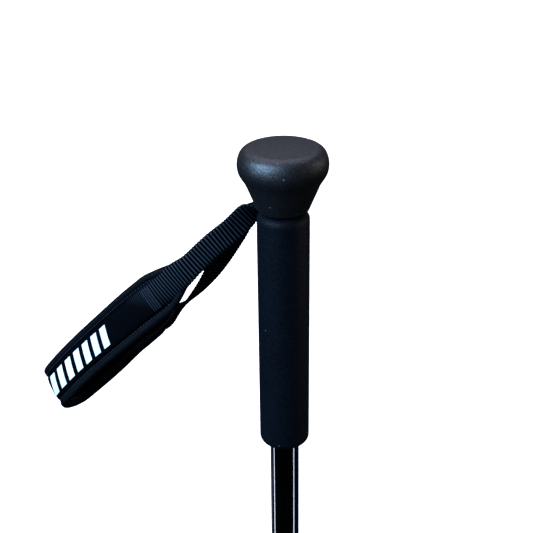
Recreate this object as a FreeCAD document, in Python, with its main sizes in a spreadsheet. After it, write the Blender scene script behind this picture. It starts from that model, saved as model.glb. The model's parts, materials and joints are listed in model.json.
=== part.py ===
"""Quad walking cane: a telescoping shaft with a foam grip, a mushroom knob and a wrist strap,
standing on a four-legged base. Millimetres, +Z up, origin on the floor under the shaft."""
import FreeCAD, Part
import math
import os

import Sketcher
from FreeCAD import Placement, Rotation, Vector

# ---------------------------------------------------------------- driving dimensions
DIMENSIONS = [
    ("foot_height", 38.0, "rubber tip, floor to rim"),
    ("foot_radius", 15.0, "flared sole of a rubber tip"),
    ("foot_rim_radius", 11.0, "rim of a rubber tip round the leg"),
    ("foot_floor", 6.0, "rubber under the leg's end"),
    ("washer_radius", 7.6, "steel disc inside a tip"),
    ("washer_thick", 1.6, "steel disc inside a tip"),
    ("inner_foot_reach", 47.0, "inner feet, distance along X from the shaft"),
    ("outer_foot_reach", 133.0, "outer feet, distance along X from the shaft"),
    ("foot_spread", 61.0, "feet, distance along Y from the shaft"),
    ("leg_radius", 7.94, "5/8 in leg tube, outside"),
    ("leg_wall", 1.5, "leg tube wall"),
    ("leg_bend", 32.0, "centre-line radius of a leg's knee"),
    ("arm_slope", 0.18, "fall of a leg's arm per unit of reach"),
    ("arm_start", 23.0, "where a leg's arm starts inside its socket"),
    ("hub_height", 104.0, "height of the hub's arm centre on the shaft's axis"),
    ("hub_radius", 18.0, "cast hub, outside"),
    ("hub_bottom", 76.0, "underside of the hub"),
    ("hub_top", 142.0, "top of the hub's socket"),
    ("hub_floor", 8.0, "metal under the lower tube"),
    ("hub_round", 3.0, "rounded edge at the foot of the hub"),
    ("socket_radius", 11.2, "hub's leg sockets, outside"),
    ("socket_reach", 42.0, "hub's leg sockets, distance from the axis"),
    ("grub_radius", 2.5, "grub screw in a leg socket"),
    ("grub_reach", 33.0, "grub screw, distance from the axis"),
    ("grub_length", 4.6, "grub screw"),
    ("grub_hexagon", 1.45, "grub screw's hexagon socket, middle to corner"),
    ("bolt_radius", 3.0, "M6 bolt through the hub and the lower tube"),
    ("bolt_height", 128.0, "M6 bolt, height of its axis"),
    ("bolt_hexagon", 5.77, "M6 bolt head and nut, middle to corner"),
    ("bolt_head", 4.0, "M6 bolt head, height"),
    ("nut_height", 5.0, "M6 nut"),
    ("bolt_end", 8.0, "M6 bolt beyond its rear washer"),
    ("bolt_washer", 1.2, "M6 washer, thickness"),
    ("bolt_washer_radius", 6.2, "M6 washer"),
    ("lower_radius", 11.11, "7/8 in lower tube, outside"),
    ("lower_bore", 9.6, "lower tube, inside"),
    ("lower_top", 517.5, "top of the lower tube"),
    ("upper_radius", 9.525, "3/4 in upper tube, outside"),
    ("upper_wall", 1.2, "upper tube wall"),
    ("upper_bottom", 318.0, "lower end of the upper tube at middle height"),
    ("fit_gap", 0.1, "clearance of a fixed fit"),
    ("thread_gap", 0.02, "clearance between plain cylinders that stand for threads"),
    ("hole_pitch", 19.05, "3/4 in between height holes"),
    ("hole_count", 13.0, "height holes"),
    ("hole_radius", 4.6, "height hole in the lower tube"),
    ("button_height", 350.0, "snap button at middle height"),
    ("button_radius", 4.0, "snap button"),
    ("button_proud", 2.6, "snap button beyond the lower tube"),
    ("spring_drop", 44.0, "snap button to the bend of its spring"),
    ("spring_width", 7.0, "leaf of the button's spring"),
    ("spring_thick", 0.7, "leaf of the button's spring"),
    ("glide_length", 16.0, "nylon glide at the foot of the upper tube"),
    ("ferrule_radius", 13.0, "threaded sleeve at the top of the lower tube"),
    ("ferrule_bottom", 486.5, "threaded sleeve, lower end"),
    ("ring_height", 9.0, "compression ring"),
    ("collar_radius", 16.6, "locking collar, outside"),
    ("collar_bottom", 490.5, "locking collar, lower end"),
    ("collar_top", 529.5, "locking collar, upper end when tight"),
    ("flute_count", 12.0, "finger flutes round the collar"),
    ("flute_radius", 2.2, "finger flute"),
    ("flute_length", 26.0, "finger flute"),
    ("grip_radius", 16.2, "foam grip, outside"),
    ("grip_length", 164.0, "foam grip"),
    ("grip_bottom", 646.0, "foam grip, lower end at middle height"),
    ("grip_top_round", 5.0, "rounded top edge of the grip"),
    ("grip_foot_round", 4.5, "rounded bottom edge of the grip"),
    ("strap_gap", 2.0, "gap between grip and knob that the strap turns in"),
    ("insert_depth", 30.0, "threaded insert in the top of the upper tube"),
    ("screw_radius", 4.0, "M8 screw between knob and insert"),
    ("spacer_radius", 6.0, "steel spacer that the strap turns on"),
    ("eyelet_radius", 8.6, "strap's eyelet, outside"),
    ("tab_radius", 12.0, "round end of the strap's tab"),
    ("tab_length", 17.6, "strap's tab, from its eyelet's centre to the gap's mouth"),
    ("tab_thick", 1.6, "strap's tab, two pressed layers"),
    ("knob_height", 39.2, "knob"),
    ("knob_radius", 27.4, "knob at its widest"),
    ("neck_radius", 16.1, "knob at its foot"),
    ("core_radius", 9.5, "knob's hard core"),
    ("core_plate", 17.0, "disc at the top of the knob's core"),
    ("webbing_width", 15.5, "strap webbing"),
    ("webbing_thick", 1.4, "strap webbing"),
    ("pad_width", 30.0, "padded part of the strap"),
    ("pad_thick", 4.2, "padded part of the strap"),
]

doc = FreeCAD.newDocument("quad_cane")
sheet = doc.addObject("Spreadsheet::Sheet", "Dims")


class Size:
    """A number together with the sheet formula that gives it."""

    def __init__(self, value, formula):
        self.value = value
        self.formula = formula

    @staticmethod
    def of(other):
        return other if isinstance(other, Size) else Size(float(other), repr(float(other)))

    def __add__(self, other):
        other = Size.of(other)
        return Size(self.value + other.value, f"({self.formula} + {other.formula})")

    def __sub__(self, other):
        other = Size.of(other)
        return Size(self.value - other.value, f"({self.formula} - {other.formula})")

    def __mul__(self, other):
        other = Size.of(other)
        return Size(self.value * other.value, f"({self.formula} * {other.formula})")

    def __truediv__(self, other):
        other = Size.of(other)
        return Size(self.value / other.value, f"({self.formula} / {other.formula})")

    def __radd__(self, other):
        return Size.of(other) + self

    def __rsub__(self, other):
        return Size.of(other) - self

    def __rmul__(self, other):
        return Size.of(other) * self

    def root(self):
        return Size(math.sqrt(self.value), f"sqrt({self.formula})")


def fill_sheet():
    """Write every driving dimension into the sheet and return them as Size values."""
    sizes = {}
    for row, (alias, value, note) in enumerate(DIMENSIONS, start=1):
        sheet.set(f"A{row}", note)
        sheet.set(f"B{row}", str(value))
        sheet.setAlias(f"B{row}", alias)
        sizes[alias] = Size(value, f"Dims.{alias}")
    doc.recompute()
    return sizes


D = fill_sheet()


def bind(thing, prop, size):
    """Bind one property to the sheet."""
    thing.setExpression(prop, Size.of(size).formula)


def number(name):
    return D[name].value


# ---------------------------------------------------------------- sketch and body helpers
def origin_plane(body, role):
    return next(f for f in body.Origin.OriginFeatures if f.Role == role)


def new_body(label):
    body = doc.addObject("PartDesign::Body", label)
    body.Label = label
    return body


def new_sketch(body, name, role="XZ_Plane"):
    sketch = body.newObject("Sketcher::SketchObject", name)
    sketch.AttachmentSupport = [(origin_plane(body, role), "")]
    sketch.MapMode = "FlatFace"
    return sketch


def pin_point(sketch, geo, end, x, y):
    """Fix one end of one sketch line or arc at sheet-driven coordinates."""
    for kind, size in (("DistanceX", x), ("DistanceY", y)):
        size = Size.of(size)
        index = sketch.addConstraint(Sketcher.Constraint(kind, -1, 1, geo, end, size.value))
        sketch.setExpression(f"Constraints[{index}]", size.formula)


def arc_between(start, finish, radius):
    """A sketch arc; a positive radius bulges to the right of the way from start to finish."""
    a = Vector(*start, 0)
    b = Vector(*finish, 0)
    chord = b - a
    left = Vector(-chord.y, chord.x, 0).normalize()
    rise = math.sqrt(radius**2 - (chord.Length / 2) ** 2)
    centre = (a + b) / 2 + left * math.copysign(rise, radius)
    angles = [math.atan2(p.y - centre.y, p.x - centre.x) for p in (a, b)]
    if radius < 0:
        angles.reverse()
    return Part.ArcOfCircle(Part.Circle(centre, Vector(0, 0, 1), abs(radius)), *angles)


def draw_chain(sketch, corners, closed=True):
    """Draw corners (x, y) joined by lines; a third entry is the radius of an arc to that corner."""
    count = len(corners)
    first_entity = 0 if closed else 1
    for i in range(first_entity, count):
        x, y, *radius = corners[i]
        px, py = corners[i - 1][:2]
        start = (Size.of(px).value, Size.of(py).value)
        finish = (Size.of(x).value, Size.of(y).value)
        if not radius:
            line = Part.LineSegment(Vector(*start, 0), Vector(*finish, 0))
            geo = sketch.addGeometry(line, False)
            ends = (1, 2)
        else:
            size = Size.of(radius[0])
            geo = sketch.addGeometry(arc_between(start, finish, size.value), False)
            ends = (1, 2) if size.value > 0 else (2, 1)
            length = size if size.value > 0 else 0 - size
            index = sketch.addConstraint(Sketcher.Constraint("Radius", geo, length.value))
            sketch.setExpression(f"Constraints[{index}]", length.formula)
        if not closed and i == 1:
            pin_point(sketch, geo, ends[0], px, py)
        pin_point(sketch, geo, ends[1], x, y)
        if i > first_entity:
            sketch.addConstraint(Sketcher.Constraint("Coincident", last_geo, last_end, geo, ends[0]))
        if i == first_entity:
            opening = (geo, ends[0])
        last_geo, last_end = geo, ends[1]
    if closed:
        sketch.addConstraint(Sketcher.Constraint("Coincident", last_geo, last_end, *opening))


def turned(label, corners):
    """A body turned about Z from a closed outline of (radius, height) corners."""
    body = new_body(label)
    sketch = new_sketch(body, label + "_outline")
    draw_chain(sketch, corners)
    turn = body.newObject("PartDesign::Revolution", label + "_turn")
    turn.Profile = sketch
    turn.ReferenceAxis = (sketch, ["V_Axis"])
    turn.Angle = 360
    return body


def dome(radius, rise):
    """Radius of the sphere that caps a circle of this radius with this rise."""
    radius, rise = Size.of(radius), Size.of(rise)
    return (radius * radius + rise * rise) / (2 * rise)


def sleeve(label, inner, outer, bottom, top):
    """A plain tube or ring about Z."""
    return turned(label, [(inner, bottom), (outer, bottom), (outer, top), (inner, top)])


def disc(label, outer, bottom, top):
    return turned(label, [(0, bottom), (outer, bottom), (outer, top), (0, top)])


def circle_sketch(body, name, role, x, y, radius):
    sketch = new_sketch(body, name, role)
    geo = sketch.addGeometry(Part.Circle(Vector(Size.of(x).value, Size.of(y).value, 0),
                                         Vector(0, 0, 1), Size.of(radius).value), False)
    pin_point(sketch, geo, 3, x, y)
    index = sketch.addConstraint(Sketcher.Constraint("Radius", geo, Size.of(radius).value))
    sketch.setExpression(f"Constraints[{index}]", Size.of(radius).formula)
    return sketch


def bore_across(body, name, height, radius, both_walls):
    """A round hole along Y through the front wall, or through both walls, of a tube about Z."""
    doc.recompute()
    before = body.Shape.Volume
    cut = body.newObject("PartDesign::Pocket", name)
    cut.Profile = circle_sketch(body, name + "_circle", "XZ_Plane", 0, height, radius)
    cut.Length = 60
    cut.Midplane = both_walls
    cut.Reversed = not both_walls
    doc.recompute()
    if body.Shape.Volume >= before - 1:
        raise RuntimeError(f"{name} removes nothing from {body.Label}")
    return cut


def primitive(kind, name, **sizes):
    thing = doc.addObject(kind, name)
    for prop, size in sizes.items():
        bind(thing, prop, size)
    return thing


def cylinder(name, radius, length, start, direction=Vector(0, 0, 1)):
    """A Part cylinder from a start point along a direction."""
    thing = primitive("Part::Cylinder", name, Radius=radius, Height=length)
    thing.Placement = Placement(start, Rotation(Vector(0, 0, 1), direction))
    return thing


def fused(name, parts):
    thing = doc.addObject("Part::MultiFuse", name)
    thing.Shapes = parts
    return thing


def cut_from(name, base, tools):
    thing = doc.addObject("Part::Cut", name)
    thing.Base = base
    thing.Tool = tools[0] if len(tools) == 1 else fused(name + "_tools", tools)
    return thing


def grouped(label, parts):
    """Identical pieces that share one node, kept as separate solids."""
    group = doc.addObject("Part::Compound", label)
    group.Links = parts
    group.Label = label
    return group


# ---------------------------------------------------------------- the base
SLOPE = D["arm_slope"]
SLANT = (1 + SLOPE * SLOPE).root()
FEET = [
    ("inner_front", -1, -1),
    ("inner_rear", -1, 1),
    ("outer_front", 1, -1),
    ("outer_rear", 1, 1),
]


def foot_centre(side_x, side_y):
    reach = number("outer_foot_reach") if side_x > 0 else number("inner_foot_reach")
    return Vector(side_x * reach, side_y * number("foot_spread"), 0)


def foot_distance(side_x):
    """Distance from the shaft's axis to a foot, as a sheet formula."""
    reach = D["outer_foot_reach"] if side_x > 0 else D["inner_foot_reach"]
    return (reach * reach + D["foot_spread"] * D["foot_spread"]).root()


def foot_heading(side_x, side_y):
    centre = foot_centre(side_x, side_y)
    return math.degrees(math.atan2(centre.y, centre.x))


def leg(label, side_x, side_y):
    """A bent leg tube: a sloping arm out of the hub, a knee, and a vertical shank into the foot."""
    body = new_body(label)
    reach = foot_distance(side_x)
    knee_height = D["hub_height"] - SLOPE * reach
    tangent = D["leg_bend"] * (SLANT - SLOPE)
    path = new_sketch(body, label + "_path")
    draw_chain(path, [
        (D["arm_start"], D["hub_height"] - SLOPE * D["arm_start"]),
        (reach - tangent / SLANT, knee_height + tangent * SLOPE / SLANT),
        (reach, knee_height - tangent, 0 - D["leg_bend"]),
        (reach, D["foot_floor"]),
    ], closed=False)
    ring = new_sketch(body, label + "_ring", "XY_Plane")
    for radius in (D["leg_radius"], D["leg_radius"] - D["leg_wall"]):
        geo = ring.addGeometry(Part.Circle(Vector(reach.value, 0, 0), Vector(0, 0, 1),
                                           radius.value), False)
        pin_point(ring, geo, 3, reach, 0)
        index = ring.addConstraint(Sketcher.Constraint("Radius", geo, radius.value))
        ring.setExpression(f"Constraints[{index}]", radius.formula)
    bind(ring, "AttachmentOffset.Base.z", D["foot_floor"])
    doc.recompute()
    pipe = body.newObject("PartDesign::AdditivePipe", label + "_pipe")
    pipe.Profile = ring
    pipe.Spine = (path, [])
    body.Placement = Placement(Vector(), Rotation(Vector(0, 0, 1), foot_heading(side_x, side_y)))
    return body


def foot(label, side_x, side_y):
    """A rubber tip: flared sole with a shallow hollow, tapering to a rim round the leg."""
    hollow = 2.0
    body = turned(label, [
        (0, hollow),
        (D["foot_radius"] * 0.45, hollow),
        (D["foot_radius"] * 0.6, 0),
        (D["foot_radius"] - 1.5, 0),
        (D["foot_radius"], 1.5, 1.5),
        (D["foot_radius"], 7.0),
        (D["foot_rim_radius"], 16.0, -18.0),
        (D["foot_rim_radius"], D["foot_height"] - 1.0),
        (D["foot_rim_radius"] - 1.0, D["foot_height"], 1.0),
        (D["leg_radius"], D["foot_height"]),
        (D["leg_radius"], D["foot_floor"] - D["washer_thick"]),
        (0, D["foot_floor"] - D["washer_thick"]),
    ])
    body.Placement = Placement(foot_centre(side_x, side_y), Rotation())
    return body


def foot_washers():
    """The steel discs that keep the legs from cutting through their rubber tips."""
    discs = []
    for name, side_x, side_y in FEET:
        start = foot_centre(side_x, side_y)
        start.z = number("foot_floor") - number("washer_thick")
        discs.append(cylinder("washer_" + name, D["washer_radius"], D["washer_thick"], start))
    return grouped("foot_washers", discs)


def arm_direction(side_x, side_y):
    """Unit vector along a socket of the hub, outwards and slightly down."""
    heading = math.radians(foot_heading(side_x, side_y))
    way = Vector(math.cos(heading), math.sin(heading), -SLOPE.value)
    return way.normalize()


def hub():
    """The cast hub: a socket for the lower tube and four sloping sockets for the legs."""
    bore = D["lower_radius"] + D["fit_gap"]
    boss = turned("hub_boss", [
        (0, D["hub_bottom"]),
        (D["hub_radius"] - D["hub_round"], D["hub_bottom"]),
        (D["hub_radius"], D["hub_bottom"] + D["hub_round"], D["hub_round"]),
        (D["hub_radius"], D["hub_top"] - 2),
        (D["hub_radius"] - 2, D["hub_top"], 2),
        (bore, D["hub_top"]),
        (bore, D["hub_bottom"] + D["hub_floor"]),
        (0, D["hub_bottom"] + D["hub_floor"]),
    ])
    centre = Vector(0, 0, number("hub_height"))
    solid = [boss]
    hollow = []
    for name, side_x, side_y in FEET:
        way = arm_direction(side_x, side_y)
        inside = number("hub_radius") * 0.75
        solid.append(cylinder("socket_" + name, D["socket_radius"], D["socket_reach"] - inside,
                              centre + way * inside, way))
        seat = centre + way * (number("arm_start") * SLANT.value)
        hollow.append(cylinder("seat_" + name, D["leg_radius"] + D["fit_gap"] / 2,
                               D["socket_reach"], seat, way))
        hollow.append(cylinder("tapping_" + name, D["grub_radius"], D["socket_radius"],
                               grub_foot(side_x, side_y)))
    hollow.append(cylinder("well", bore, D["hub_top"] - D["hub_bottom"],
                           Vector(0, 0, number("hub_bottom") + number("hub_floor"))))
    hollow.append(cylinder("bolt_way", D["bolt_radius"] + D["fit_gap"], D["hub_radius"] * 3,
                           Vector(0, -1.5 * number("hub_radius"), number("bolt_height")), Vector(0, 1, 0)))
    body = cut_from("base_hub", fused("hub_casting", solid), hollow)
    body.Label = "base_hub"
    return body


def grub_foot(side_x, side_y):
    """Where a grub screw's lower end stands, just above the leg's arm."""
    heading = math.radians(foot_heading(side_x, side_y))
    reach = number("grub_reach")
    clear = 0.4
    rise = (number("leg_radius") + number("grub_radius") * SLOPE.value) * SLANT.value + clear
    return Vector(reach * math.cos(heading), reach * math.sin(heading),
                  number("hub_height") - SLOPE.value * reach + rise)


def grub_screws():
    """Headless screws that lock the legs in the hub, each with a hexagon socket."""
    screws = []
    socket_depth = 2.0
    for name, side_x, side_y in FEET:
        start = grub_foot(side_x, side_y)
        shank = cylinder("grub_shank_" + name, D["grub_radius"], D["grub_length"], start)
        socket = primitive("Part::Prism", "grub_socket_" + name, Circumradius=D["grub_hexagon"],
                           Height=2 * socket_depth)
        socket.Placement = Placement(start + Vector(0, 0, number("grub_length") - socket_depth),
                                     Rotation())
        screws.append(cut_from("grub_" + name, shank, [socket]))
    return grouped("leg_grub_screws", screws)


def hub_fasteners():
    """The M6 bolt along Y that holds the lower tube in the hub, its washers and its nut."""
    height = number("bolt_height")
    seat = number("hub_radius")
    rear = seat + number("bolt_washer")
    forward = Vector(0, -1, 0)
    facing = Rotation(Vector(0, 0, 1), forward)
    hole = D["bolt_radius"] + D["thread_gap"]
    shank = cylinder("bolt_shank", D["bolt_radius"],
                     2 * (D["hub_radius"] + D["bolt_washer"]) + D["bolt_end"] + 1,
                     Vector(0, rear + number("bolt_end"), height), forward)
    cap = primitive("Part::Prism", "bolt_cap", Circumradius=D["bolt_hexagon"], Height=D["bolt_head"])
    cap.Placement = Placement(Vector(0, -rear, height), facing)
    bolt = fused("hub_bolt", [shank, cap])
    bolt.Label = "hub_bolt"
    rings = []
    for name, start in (("front", -seat), ("rear", rear)):
        plate = cylinder("plate_" + name, D["bolt_washer_radius"], D["bolt_washer"],
                         Vector(0, start, height), forward)
        way = cylinder("plate_hole_" + name, hole, 3 * D["bolt_washer"],
                       Vector(0, start + number("bolt_washer"), height), forward)
        rings.append(cut_from("hub_washer_" + name, plate, [way]))
    washers = grouped("hub_washers", rings)
    hexagon = primitive("Part::Prism", "nut_hexagon", Circumradius=D["bolt_hexagon"],
                        Height=D["nut_height"])
    hexagon.Placement = Placement(Vector(0, rear + number("nut_height"), height), facing)
    tapping = cylinder("nut_tapping", hole, 2 * D["nut_height"],
                       Vector(0, rear + 1.5 * number("nut_height"), height), forward)
    nut = cut_from("hub_nut", hexagon, [tapping])
    nut.Label = "hub_nut"
    return [bolt, washers, nut]


def lower_tube():
    """The outer tube of the telescope, with its row of height holes at the front."""
    body = sleeve("lower_tube", D["lower_bore"], D["lower_radius"],
                  D["hub_bottom"] + D["hub_floor"], D["lower_top"])
    bore_across(body, "bolt_hole", D["bolt_height"], D["bolt_radius"] + D["fit_gap"], True)
    lowest = D["button_height"] - D["hole_pitch"] * (D["hole_count"] - 1) / 2
    hole = bore_across(body, "height_hole", lowest, D["hole_radius"], False)
    row = body.newObject("PartDesign::LinearPattern", "height_holes")
    row.Originals = [hole]
    row.Direction = (hole.Profile[0], ["V_Axis"])
    bind(row, "Length", D["hole_pitch"] * (D["hole_count"] - 1))
    bind(row, "Occurrences", D["hole_count"])
    body.Tip = row
    return body


def lock_parts():
    """The anti-rattle lock: a fixed threaded sleeve, a compression ring and a turning collar."""
    ferrule = sleeve("lock_ferrule", D["lower_radius"], D["ferrule_radius"],
                     D["ferrule_bottom"], D["lower_top"])
    ring_foot = D["lower_top"] + 0.3
    ring_top = ring_foot + D["ring_height"]
    ring_bore = D["upper_radius"] + D["fit_gap"]
    wedge_height = 2.0
    wedge_wide = D["ferrule_radius"] - 0.4
    wedge_slim = D["ferrule_radius"] - 2.0
    ring = turned("lock_ring", [
        (ring_bore, ring_foot),
        (wedge_wide - 1.2, ring_foot),
        (wedge_wide, ring_foot + wedge_height),
        (wedge_slim, ring_top),
        (ring_bore, ring_top),
    ])
    bore = D["ferrule_radius"] + 0.15
    lip = D["upper_radius"] + 0.35
    edge = 1.5
    shoulder = D["collar_top"] - 8
    collar = turned("lock_collar", [
        (bore, D["collar_bottom"]),
        (D["collar_radius"] - edge, D["collar_bottom"]),
        (D["collar_radius"], D["collar_bottom"] + edge, edge),
        (D["collar_radius"], shoulder),
        (lip + 1.6, D["collar_top"], 9.5),
        (lip, D["collar_top"]),
        (lip, ring_top),
        (wedge_slim, ring_top),
        (wedge_wide + 0.15, ring_foot + wedge_height),
        (bore, ring_foot + 1.2),
    ])
    doc.recompute()
    before = collar.Shape.Volume
    flute = collar.newObject("PartDesign::Pocket", "flute")
    flute.Profile = circle_sketch(collar, "flute_circle", "XY_Plane",
                                  D["collar_radius"] + D["flute_radius"] * 0.62, 0,
                                  D["flute_radius"])
    bind(flute.Profile[0], "AttachmentOffset.Base.z", shoulder - 1)
    bind(flute, "Length", D["flute_length"])
    doc.recompute()
    if collar.Shape.Volume >= before - 1:
        raise RuntimeError("the flute removes nothing from the collar")
    flutes = collar.newObject("PartDesign::PolarPattern", "flutes")
    flutes.Originals = [flute]
    flutes.Axis = (flute.Profile[0], ["N_Axis"])
    flutes.Angle = 360
    bind(flutes, "Occurrences", D["flute_count"])
    collar.Tip = flutes
    return [ferrule, ring, collar]


# ---------------------------------------------------------------- the shaft
GRIP_TOP = D["grip_bottom"] + D["grip_length"]
KNOB_FOOT = GRIP_TOP + D["strap_gap"]
UPPER_BORE = D["upper_radius"] - D["upper_wall"]
BUTTON_DOME = 2.5
INSERT_FLANGE = 2.0


def upper_tube():
    body = sleeve("upper_tube", UPPER_BORE, D["upper_radius"], D["upper_bottom"],
                  GRIP_TOP - INSERT_FLANGE)
    bore_across(body, "button_hole", D["button_height"], D["hole_radius"] + 0.1, False)
    return body


def tube_glide():
    """A nylon glide pressed into the foot of the upper tube."""
    foot_z = D["upper_bottom"]
    flange = foot_z - 3
    top = flange + D["glide_length"]
    edge = 0.8
    bore = UPPER_BORE - 1.6
    return turned("tube_glide", [
        (bore, flange),
        (D["upper_radius"] - edge, flange),
        (D["upper_radius"], flange + 1, 2.0),
        (D["upper_radius"], foot_z),
        (UPPER_BORE, foot_z),
        (UPPER_BORE, top),
        (bore, top),
    ])


def spring_leaf(label, outline):
    """A leaf of the V spring: its side outline, made as wide as the spring."""
    face = Part.Face(outline)
    face.translate(Vector(-number("spring_width") / 2, 0, 0))
    leaf = doc.addObject("Part::Feature", label)
    leaf.Shape = face.extrude(Vector(number("spring_width"), 0, 0))
    leaf.Label = label
    return leaf


def button_parts():
    """The snap button on the moving leaf of its V spring, and the fixed leaf with the spring's bend."""
    height = number("button_height")
    bend = height - number("spring_drop")
    inner = UPPER_BORE.value
    thick = number("spring_thick")
    seat = inner - 1.5
    length = number("lower_radius") + number("button_proud") - seat
    button = turned("snap_button", [
        (0, 0),
        (D["button_radius"], 0),
        (D["button_radius"], length - BUTTON_DOME),
        (0, length, dome(D["button_radius"], BUTTON_DOME)),
    ])
    button.Placement = Placement(Vector(0, -seat, height), Rotation(Vector(0, 0, 1), Vector(0, -1, 0)))

    outer_bend = thick + 0.2
    inner_bend = outer_bend - thick
    top = height + 7
    button_foot = height - 5
    gap = 0.3
    moving = Part.makePolygon([
        Vector(0, -outer_bend, bend + gap),
        Vector(0, -inner_bend, bend + gap),
        Vector(0, thick - seat, top),
        Vector(0, -seat, top),
        Vector(0, -seat, button_foot),
        Vector(0, -outer_bend, bend + gap),
    ])

    back = math.sqrt(inner**2 - (number("spring_width") / 2) ** 2) - 0.1
    outer_line = [Vector(0, outer_bend, bend), Vector(0, back, top)]
    inner_line = [Vector(0, back - thick, top), Vector(0, inner_bend, bend)]
    fixed = Part.Wire([
        Part.LineSegment(*outer_line).toShape(),
        Part.LineSegment(outer_line[1], inner_line[0]).toShape(),
        Part.LineSegment(*inner_line).toShape(),
        Part.Arc(inner_line[1], Vector(0, 0, bend - inner_bend), Vector(0, -inner_bend, bend)).toShape(),
        Part.LineSegment(Vector(0, -inner_bend, bend), Vector(0, -outer_bend, bend)).toShape(),
        Part.Arc(Vector(0, -outer_bend, bend), Vector(0, 0, bend - outer_bend), outer_line[0]).toShape(),
    ])
    return [button, spring_leaf("spring_moving_leaf", moving), spring_leaf("spring_fixed_leaf", fixed)]


def grip():
    return turned("grip_foam", [
        (D["upper_radius"], D["grip_bottom"]),
        (D["grip_radius"] - D["grip_foot_round"], D["grip_bottom"]),
        (D["grip_radius"], D["grip_bottom"] + D["grip_foot_round"], D["grip_foot_round"]),
        (D["grip_radius"], GRIP_TOP - D["grip_top_round"]),
        (D["grip_radius"] - D["grip_top_round"], GRIP_TOP, D["grip_top_round"]),
        (D["upper_radius"], GRIP_TOP),
    ])


def knob_cover(plate_low, plate_high):
    """The mushroom of foam: a flared neck, a bulge, and a slightly domed top round a flat plate."""
    foot_z = KNOB_FOOT
    neck = D["neck_radius"]
    widest = D["knob_radius"]
    crown = 0.6
    flat_edge = widest - 7.2
    return turned("knob_cover", [
        (D["core_radius"], foot_z),
        (neck - 1, foot_z),
        (neck, foot_z + 0.8, 1),
        (neck + 5.4, foot_z + 13.9),
        (neck + 7.8, foot_z + 18.9, -30),
        (widest - 2.2, foot_z + 20.9),
        (widest, foot_z + 28.2, 13),
        (widest - 1.2, foot_z + 34.2, 15.5),
        (flat_edge, foot_z + D["knob_height"] - crown, 7),
        (0, foot_z + D["knob_height"], dome(flat_edge, crown)),
        (0, plate_high),
        (D["core_plate"], plate_high),
        (D["core_plate"], plate_low),
        (D["core_radius"], plate_low),
    ])


def knob_parts():
    """The knob's foam cover, its hard core, the screw, the threaded insert and the spacer."""
    foot_z = KNOB_FOOT
    plate_low = foot_z + 22
    plate_high = foot_z + 28
    screw_top = foot_z + 20
    thread = D["screw_radius"] + D["thread_gap"]
    core = turned("knob_core", [
        (thread, foot_z),
        (D["core_radius"], foot_z),
        (D["core_radius"], plate_low),
        (D["core_plate"], plate_low),
        (D["core_plate"], plate_high),
        (0, plate_high),
        (0, screw_top),
        (thread, screw_top),
    ])
    insert_bottom = GRIP_TOP - D["insert_depth"]
    flange_foot = GRIP_TOP - INSERT_FLANGE
    sleeve_part = sleeve("tube_insert", thread, UPPER_BORE, insert_bottom, flange_foot)
    flange = sleeve("insert_flange", thread, D["upper_radius"], flange_foot, GRIP_TOP)
    insert = fused("threaded_insert", [sleeve_part, flange])
    insert.Label = "threaded_insert"
    screw = disc("knob_screw", D["screw_radius"], insert_bottom + 4, screw_top - 0.5)
    spacer = sleeve("strap_spacer", thread, D["spacer_radius"], GRIP_TOP, foot_z)
    return [knob_cover(plate_low, plate_high), core, insert, screw, spacer]


# ---------------------------------------------------------------- the wrist strap
# Stations of the loop's centre line, from the top of the grip, the direction across the webbing
# there and the share of its full width, all chosen by hand. The loop leaves the gap at the back
# left, runs down to the left, turns round at its padded end and comes back with half a twist.
TAB_HEADING = 145.0
FRONT_RUN = [
    ((-15.3, 10.7, -0.1), (0.57, 0.82, 0.0), 1.0),
    ((-17.2, 10.9, -2.2), (0.74, 0.58, -0.33), 1.0),
    ((-20.6, 10.6, -5.2), (0.82, 0.20, -0.53), 1.0),
    ((-28.5, 7.5, -12.3), (0.80, -0.12, -0.59), 1.0),
    ((-42.0, 5.0, -22.9), (0.74, -0.23, -0.63), 1.0),
    ((-54.0, 5.0, -34.5), (0.70, -0.29, -0.66), 1.0),
    ((-61.0, 5.0, -41.0), (0.69, -0.31, -0.65), 1.0),
]
FRONT_PAD = [
    ((-61.5, 5.0, -41.5), (0.69, -0.31, -0.65), 0.54),
    ((-67.5, 5.0, -46.7), (0.68, -0.33, -0.65), 0.75),
    ((-75.5, 5.3, -54.4), (0.67, -0.36, -0.65), 0.95),
    ((-89.0, 7.0, -66.5), (0.66, -0.42, -0.62), 1.0),
    ((-110.0, 12.0, -87.2), (0.60, -0.53, -0.60), 1.0),
    ((-132.0, 18.0, -110.0), (0.54, -0.60, -0.59), 1.0),
    ((-152.0, 23.8, -133.5), (0.49, -0.63, -0.60), 1.0),
]
BACK_PAD = [
    ((-139.5, 39.5, -140.0), (0.49, -0.63, -0.60), 1.0),
    ((-112.5, 37.5, -115.2), (0.44, -0.74, -0.51), 1.0),
    ((-91.5, 33.0, -96.5), (0.34, -0.90, -0.28), 1.0),
    ((-70.5, 26.0, -82.0), (0.24, -0.97, 0.05), 0.6),
]
BACK_RUN = [
    ((-69.8, 25.6, -81.2), (0.24, -0.97, 0.05), 1.0),
    ((-62.3, 22.0, -72.8), (0.07, -0.87, 0.48), 1.0),
    ((-48.6, 18.5, -55.0), (-0.56, -0.77, 0.30), 1.0),
    ((-34.3, 17.0, -30.0), (-0.62, -0.30, 0.72), 1.0),
    ((-23.6, 16.8, -10.0), (-0.74, -0.45, 0.50), 1.0),
    ((-19.4, 14.4, -0.8), (-0.66, -0.70, 0.28), 1.0),
    ((-15.6, 10.9, 1.6), (-0.57, -0.82, 0.0), 1.0),
]


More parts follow.
